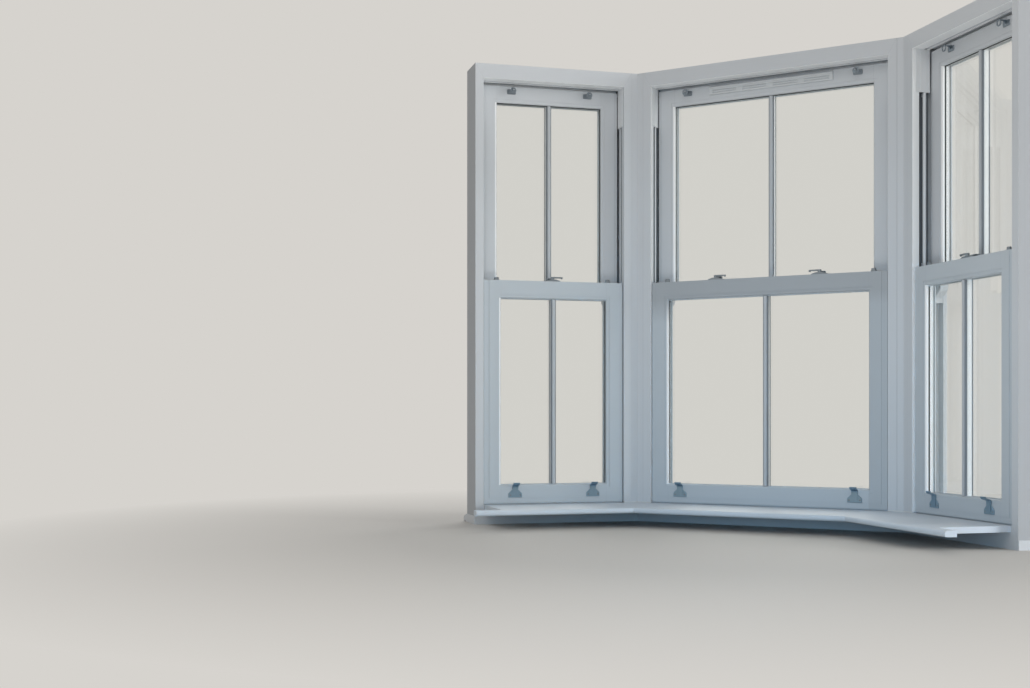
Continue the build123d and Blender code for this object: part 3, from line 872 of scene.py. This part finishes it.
# where the furniture of each light stands, in metres
furniture = {
    "plate": 3 * mm, "liftRise": 29.98 * mm, "liftScrew": 19.24 * mm, "pullDrop": 20 * mm,
    "pullScrew": 11.56 * mm, "catchScrew": 22 * mm, "railMiddle": 31 * mm,
    "lifts": {"left": 152 * mm, "centre": 330 * mm, "right": 152 * mm},
    "pulls": {"left": 150 * mm, "centre": 324 * mm, "right": 150 * mm},
    "catches": {"left": (0,), "centre": (-197 * mm, 197 * mm), "right": (0,)},
}


def screwPlaces():
    kit = furniture
    places = []
    for side, measure in measures.items():
        liftFace = measure["lowerFace"] - kit["plate"]
        liftHeight = measure["base"] + kit["liftRise"]
        pullFace = section["upperFace"] - kit["plate"]
        pullHeight = measure["sashTop"] - kit["pullDrop"]
        for sign in (-1, 1):
            for end in (-1, 1):
                lift = sign * kit["lifts"][side] + end * kit["liftScrew"]
                pull = sign * kit["pulls"][side] + end * kit["pullScrew"]
                places.append(spot(side, lift, liftFace, liftHeight, towardsRoom))
                places.append(spot(side, pull, pullFace, pullHeight, towardsRoom))
        for catch in kit["catches"][side]:
            for end in (-1, 1):
                along = catch + end * kit["catchScrew"]
                places.append(spot(side, along, kit["railMiddle"], measure["meeting"] + kit["plate"]))
    return places


values = {"Spin": math.pi, "Seed": screws["seed"]}
repeatPiece("furniture_screws", screwPlaces(), None, screwStamp(), values, chrome)
print("screws set")


# a box between two corners given in the axes of a place
def boxMesh(mesh, low, high, place):
    made = bmesh.ops.create_cube(mesh, size=1.0)["verts"]
    size = Vector(high) - Vector(low)
    middle = (Vector(high) + Vector(low)) / 2
    shape = place @ Matrix.Translation(middle) @ Matrix.Diagonal((*size, 1))
    bmesh.ops.transform(mesh, matrix=shape, verts=made)


# pile seals on the sash edges: a short pile beside the lip, a long one that bridges the upper sash's track
seals = {
    "lower": {"depth": 17 * mm, "height": 2.1 * mm, "pitch": 1.3 * mm, "seed": 23},
    "upper": {"depth": 76 * mm, "height": 5.2 * mm, "pitch": 1.4 * mm, "seed": 29},
    "width": 1.5 * mm, "thick": 0.9 * mm, "tipThick": 0.5, "tipWide": 0.8, "lean": 0.16, "shortest": 0.86,
    "strip": 4.8 * mm, "backing": 0.6 * mm, "rowShare": 0.17, "margin": 14 * mm, "crisp": 60,
}


def tuftStamp(height):
    mesh = bmesh.new()
    half = seals["width"] / 2
    thick = seals["thick"] / 2
    corners = ((-thick, -half), (thick, -half), (thick, half), (-thick, half))
    foot = [mesh.verts.new((x, y, 0)) for x, y in corners]
    tip = [mesh.verts.new((x * seals["tipThick"], y * seals["tipWide"], height)) for x, y in corners]
    joinLoops(mesh, foot, tip)
    mesh.faces.new(tip)
    return makeStamp("tuft_stamp", mesh)


# each seal runs up a sash edge, its pile pointing at the frame
def makeSeals(kind, backing):
    look = seals[kind]
    half = seals["strip"] / 2
    places = []
    ends = []
    for side, measure in measures.items():
        foot, head = sashShapes[kind](measure)[:2]
        low = foot + seals["margin"]
        high = head - seals["margin"]
        for sign in (-1, 1):
            turn = Matrix.Rotation(sign * quarterTurn, 4, "Y")
            edge = sign * measure["half"]
            face = edge + sign * seals["backing"]
            for row in (-1, 1):
                depth = look["depth"] + row * seals["strip"] * seals["rowShare"]
                places.append(spot(side, face, depth, low, turn))
                ends.append(turn.inverted().to_3x3() @ Vector((0, 0, high - low)))
            inner, outer = sorted((edge, face))
            nearCorner = (inner, look["depth"] - half, low)
            farCorner = (outer, look["depth"] + half, high)
            boxMesh(backing, nearCorner, farCorner, lightPlaces[side])
    values = {
        "Pitch": look["pitch"], "Lean": seals["lean"], "Shortest": seals["shortest"], "Seed": look["seed"],
    }
    stamp = tuftStamp(look["height"])
    repeatPiece(f"pile_seals_{kind}", places, ends, stamp, values, pile, seals["crisp"])


sealBacking = bmesh.new()
for kind in sashShapes:
    makeSeals(kind, sealBacking)
finishPiece("pile_backing", sealBacking, pile)
print("pile seals set")


# a run of one outline, given as points across the run, from one place to another
def runMesh(mesh, outline, place, length):
    loops = []
    for along in (0, length):
        loops.append([mesh.verts.new(place @ Vector((along, y, z))) for y, z in outline])
    joinLoops(mesh, *loops)
    for loop in loops:
        mesh.faces.new(loop)


# hollow fillet of sealant where the frames and posts meet the board
sealant = {
    "leg": 3.4 * mm, "steps": 6, "hollow": 0.94, "postShare": 0.4, "crisp": 30, "rough": 0.32,
    "roughSpread": 0.14, "shade": sRGB(206, 208, 208), "colour": sRGB(222, 224, 224), "cloud": 120.0,
    "cloudHeight": 0.2, "waver": 26.0, "bump": 0.4 * mm,
}


def sealantOutline():
    leg = sealant["leg"]
    curve = leg * sealant["hollow"]
    points = [(0, 0)]
    for index in range(sealant["steps"] + 1):
        angle = quarterTurn * index / sealant["steps"]
        points.append((curve * math.sin(angle) - leg, leg - curve * math.cos(angle)))
    return points


def sealantFinish():
    look = sealant
    finish = Finish("white_sealant", {"Specular IOR Level": 0.5})
    cloud = finish.noise(look["cloud"], cloudDetail)
    waver = finish.noise(look["waver"])
    finish.set("Base Color", finish.blend(cloud, look["shade"], look["colour"]))
    finish.set("Roughness", look["rough"] + cloud * look["roughSpread"])
    finish.bump(waver + cloud * look["cloudHeight"], look["bump"])
    return finish.material


# from the inner edge of each jamb that stands by a corner post to that post
def makeSealant():
    mesh = bmesh.new()
    outline = sealantOutline()
    postReach = section["postFace"] - sealant["leg"] * sealant["postShare"]
    for side, measure in measures.items():
        lip = measure["spanHalf"] - section["lip"]
        reach = measure["spanHalf"] + postReach
        for sign in (-1, 1):
            if side == "centre" or (side == "left") == (sign > 0):
                start, end = sorted((sign * lip, sign * reach))
                runMesh(mesh, outline, spot(side, start, 0, section["boardTop"]), end - start)
    finishPiece("sealant_beads", mesh, sealantFinish(), sealant["crisp"])


makeSealant()


# screwed plugs in the heads of the two poles, with the stud that jacks the pole against the lintel
jacks = {
    "plug": 20.5 * mm, "sink": 5 * mm, "thick": 9 * mm, "bevel": 1.08 * mm, "segments": 32,
    "nut": 11.5 * mm, "nutTop": 10.58 * mm, "nutShoulder": 2.55 * mm, "nutHeight": 3 * mm, "nutSides": 6,
    "stud": 7 * mm, "rise": 4.4 * mm, "threadDepth": 0.45 * mm, "turns": 4,
}


# a closed turned piece, given as the radius and height of each ring
def ringStack(mesh, centre, rings, count):
    loops = [circle(mesh, radius, height, count, centre) for radius, height in rings]
    for first, second in zip(loops, loops[1:]):
        joinLoops(mesh, first, second)
    mesh.faces.new(loops[0])
    mesh.faces.new(loops[-1])


def makeJacks():
    kit = jacks
    mesh = bmesh.new()
    low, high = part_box("bay_poles")
    radius = (high.y - low.y) / 2
    rim = kit["plug"] - kit["bevel"]
    side = (kit["plug"], kit["bevel"] - kit["thick"]), (kit["plug"], -kit["bevel"])
    plug = [(rim, -kit["thick"]), *side, (rim, 0)]
    nut = [(kit["nut"], 0), (kit["nut"], kit["nutShoulder"]), (kit["nutTop"], kit["nutHeight"])]
    stud = []
    for index in range(2 * kit["turns"] + 1):
        deep = kit["threadDepth"] * (index % 2)
        stud.append((kit["stud"] - deep, kit["rise"] * index / (2 * kit["turns"])))
    for x in (low.x + radius, high.x - radius):
        centre = Vector((x, (low.y + high.y) / 2, high.z - kit["sink"]))
        ringStack(mesh, centre, plug, kit["segments"])
        ringStack(mesh, centre, nut, kit["nutSides"])
        ringStack(mesh, centre, stud, kit["segments"])
    finishPiece("pole_jacks", mesh, steel)


makeJacks()
print("sealant and pole jacks set")


# stage and light
stage = {
    "background": sRGB(214, 211, 206), "sky": (0.98, 0.99, 1.0), "skyStrength": 0.42,
    "floor": sRGB(206, 203, 198), "floorShade": 0.97, "floorGrain": 220.0, "fadeStart": 1.2, "fadeEnd": 2.8,
    "radius": 16.0, "segments": 96,
}


# what the camera sees straight, mirrored or through glass
def backgroundRays(graph):
    path = graph.make("ShaderNodeLightPath")
    return path["Is Camera Ray"].most(path["Is Glossy Ray"]).most(path["Is Transmission Ray"])


def floorFinish():
    finish = Finish("pale_floor", {"Roughness": 0.7, "Specular IOR Level": 0.2})
    x, y, z = finish.split(finish.place)
    away = (x * x + y * y).root()
    fade = ((away - stage["fadeStart"]) / (stage["fadeEnd"] - stage["fadeStart"])).held()
    grain = finish.noise(stage["floorGrain"], cloudDetail)
    shade = darker(stage["floor"], stage["floorShade"])
    finish.set("Base Color", finish.blend(grain, shade, stage["floor"]))
    inputs = {"Color": stage["background"], "Strength": 1.0}
    glow = finish.make("ShaderNodeEmission", None, inputs)["Emission"]
    finish.mixInto(fade * backgroundRays(finish.graph), glow)
    return finish.material


def makeFloor():
    mesh = bmesh.new()
    bmesh.ops.create_circle(mesh, cap_ends=True, segments=stage["segments"], radius=stage["radius"])
    data = bpy.data.meshes.new("floor")
    mesh.to_mesh(data)
    mesh.free()
    floor = bpy.data.objects.new("floor", data)
    bpy.context.scene.collection.objects.link(floor)
    data.materials.append(floorFinish())


def makeWorld():
    world = bpy.data.worlds.new("studio")
    bpy.context.scene.world = world
    world.use_nodes = True
    graph = Graph(world.node_tree)
    for node in list(world.node_tree.nodes):
        world.node_tree.nodes.remove(node)
    inputs = {"Color": stage["sky"], "Strength": stage["skyStrength"]}
    soft = graph.make("ShaderNodeBackground", None, inputs)["Background"]
    inputs = {"Color": stage["background"], "Strength": 1.0}
    plain = graph.make("ShaderNodeBackground", None, inputs)["Background"]
    inputs = {"Fac": backgroundRays(graph), 1: soft, 2: plain}
    mixed = graph.make("ShaderNodeMixShader", None, inputs)["Shader"]
    graph.make("ShaderNodeOutputWorld", None, {"Surface": mixed})


# soft lamps: daylight behind the window and far to its right, one that shines up from below, a high one in
# the room and a low cool one; mirrored says whether glass and metal show the lamp
lamps = {
    "outside": {
        "at": (-1.6, 3.6, 2.9), "aim": (0.0, 0.2, 0.9), "size": 3.4, "spread": 180, "power": 62.0,
        "colour": (1.0, 1.0, 1.0), "mirrored": True,
    },
    "ground": {
        "at": (0.15, -1.5, 0.03), "aim": (0.15, -1.5, 2.0), "size": 1.4, "spread": 180, "power": 13.0,
        "colour": (0.97, 0.99, 1.0), "mirrored": False,
    },
    "right": {
        "at": (9.0, 1.4, 1.9), "aim": (0.0, 0.2, 1.0), "size": 3.8, "spread": 180, "power": 580.0,
        "colour": (1.0, 1.0, 1.0), "mirrored": False,
    },
    "room": {
        "at": (0.9, -3.4, 3.6), "aim": (0.0, 0.1, 1.5), "size": 2.2, "spread": 180, "power": 24.0,
        "colour": (1.0, 0.98, 0.95), "mirrored": True,
    },
    "low": {
        "at": (1.1, -3.2, 0.35), "aim": (0.0, 0.2, 0.15), "size": 1.0, "spread": 50, "power": 2.3,
        "colour": (0.3, 0.66, 1.0), "mirrored": False,
    },
}


def makeLamp(name, lamp):
    data = bpy.data.lights.new(name, "AREA")
    data.shape = "DISK"
    data.size = lamp["size"]
    data.spread = math.radians(lamp["spread"])
    data.energy = lamp["power"]
    data.color = lamp["colour"]
    made = bpy.data.objects.new(name, data)
    aim = Vector(lamp["aim"]) - Vector(lamp["at"])
    made.matrix_world = Matrix.Translation(lamp["at"]) @ aim.to_track_quat("-Z", "Y").to_matrix().to_4x4()
    made.visible_camera = False
    made.visible_transmission = False
    made.visible_glossy = lamp["mirrored"]
    bpy.context.scene.collection.objects.link(made)


makeFloor()
makeWorld()
for lampName, lamp in lamps.items():
    makeLamp(f"lamp_{lampName}", lamp)
print("stage and lamps set")


# camera at the photograph's place: its distances in metres, its lens from the picture's own pixels
shot = {
    "place": (1.6515, -4.4070, 0.4077), "turn": 29.98, "focal": 1342.8, "horizon": 413.9, "width": 1030,
    "height": 688, "sensor": 36.0,
}


def makeCamera():
    data = bpy.data.cameras.new("camera")
    data.sensor_width = shot["sensor"]
    data.lens = shot["sensor"] * shot["focal"] / shot["width"]
    data.shift_y = (shot["horizon"] - shot["height"] / 2) / shot["width"]
    camera = bpy.data.objects.new("camera", data)
    camera.location = shot["place"]
    camera.rotation_euler = (quarterTurn, 0, math.radians(shot["turn"]))
    bpy.context.scene.collection.objects.link(camera)
    bpy.context.scene.camera = camera


makeCamera()
bpy.context.scene.view_settings.view_transform = "Standard"
print("camera set")
